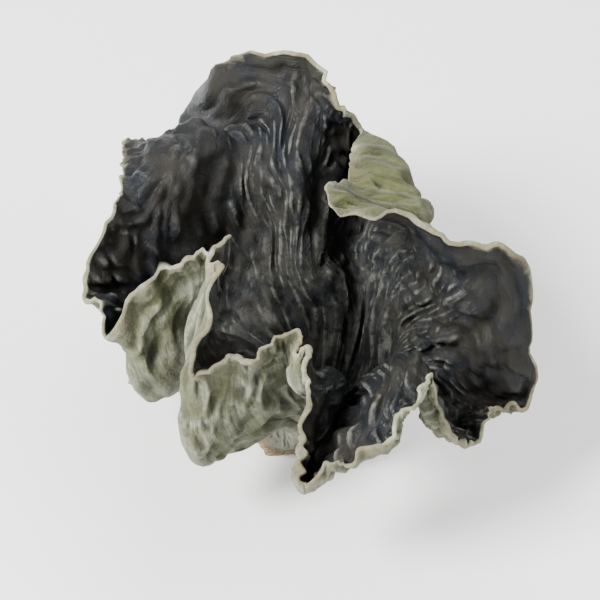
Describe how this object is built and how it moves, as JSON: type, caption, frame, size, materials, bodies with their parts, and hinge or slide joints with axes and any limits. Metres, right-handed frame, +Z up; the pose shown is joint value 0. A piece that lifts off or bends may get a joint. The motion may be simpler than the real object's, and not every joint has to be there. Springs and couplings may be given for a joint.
{
  "type": "dried wood ear mushroom",
  "caption": "Dried wood ear mushroom: a thin, crumpled cup with a wavy rim, dark and satiny inside, downy grey-olive outside, pale along its edge, resting on the flat cut of its foot.",
  "frame": {"origin": "the middle of the flat cut under the foot, where the mushroom left the wood", "axes": "+Z up, out of the cut and toward the open side of the cup; +Y away from the camera, toward the tall back wall; +X to the camera's right"},
  "size_m": [0.0465, 0.0559, 0.0364],
  "materials": {
    "dried_skin": "matte outside, satin inside"
  },
  "bodies": {
    "root": {"wood_ear": "dried_skin"}
  },
  "joints": []
}
